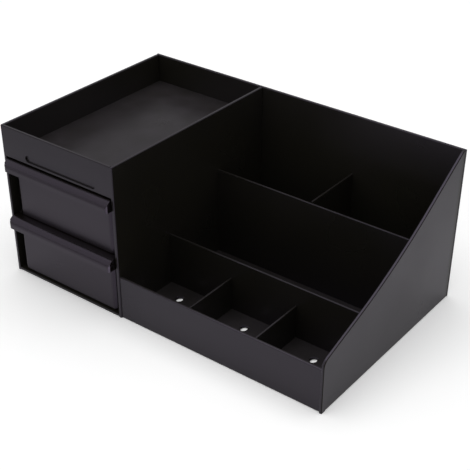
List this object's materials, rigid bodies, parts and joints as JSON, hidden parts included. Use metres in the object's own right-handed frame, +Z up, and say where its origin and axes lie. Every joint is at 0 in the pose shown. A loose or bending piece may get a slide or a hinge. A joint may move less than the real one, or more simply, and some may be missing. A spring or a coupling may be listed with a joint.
{
  "type": "perfume organizer",
  "caption": "Desktop perfume organizer with sliding drawers under a shallow tray and stepped bottle compartments behind a low front wall.",
  "frame": {"origin": "middle of the whole footprint, lower drawer's lip included, on the surface the organizer stands on", "axes": "+X to the right seen from the front, along the organizer's width; +Y from the front to the back; +Z up"},
  "size_m": [0.29, 0.1828, 0.126],
  "materials": {
    "cabinet_plastic": "satin moulded black plastic",
    "drawer_plastic": "satin moulded black plastic"
  },
  "bodies": {
    "cabinet": {"left_side_panel": "cabinet_plastic", "middle_panel": "cabinet_plastic", "right_side_panel": "cabinet_plastic", "back_panel": "cabinet_plastic", "drawer_bay_floor": "cabinet_plastic", "compartment_floor": "cabinet_plastic", "front_fence": "cabinet_plastic", "tray_floor": "cabinet_plastic", "tray_front": "cabinet_plastic", "drawer_shelf": "cabinet_plastic", "front_row_divider": "cabinet_plastic", "rear_row_divider": "cabinet_plastic", "rear_cross_divider": "cabinet_plastic", "front_cross_divider_left": "cabinet_plastic", "front_cross_divider_right": "cabinet_plastic"},
    "upper_drawer": {"upper_drawer_front": "drawer_plastic", "upper_drawer_left_side": "drawer_plastic", "upper_drawer_right_side": "drawer_plastic", "upper_drawer_rear": "drawer_plastic", "upper_drawer_bottom": "drawer_plastic", "upper_drawer_handle": "drawer_plastic"},
    "lower_drawer": {"lower_drawer_front": "drawer_plastic", "lower_drawer_left_side": "drawer_plastic", "lower_drawer_right_side": "drawer_plastic", "lower_drawer_rear": "drawer_plastic", "lower_drawer_bottom": "drawer_plastic", "lower_drawer_handle": "drawer_plastic"}
  },
  "joints": [
    {"name": "upper_drawer_slide", "type": "slide", "parent": "cabinet", "child": "upper_drawer", "axis": [0, -1, 0], "range_m": [0, 0.12]},
    {"name": "lower_drawer_slide", "type": "slide", "parent": "cabinet", "child": "lower_drawer", "axis": [0, -1, 0], "range_m": [-0.0018, 0.1182]}
  ]
}
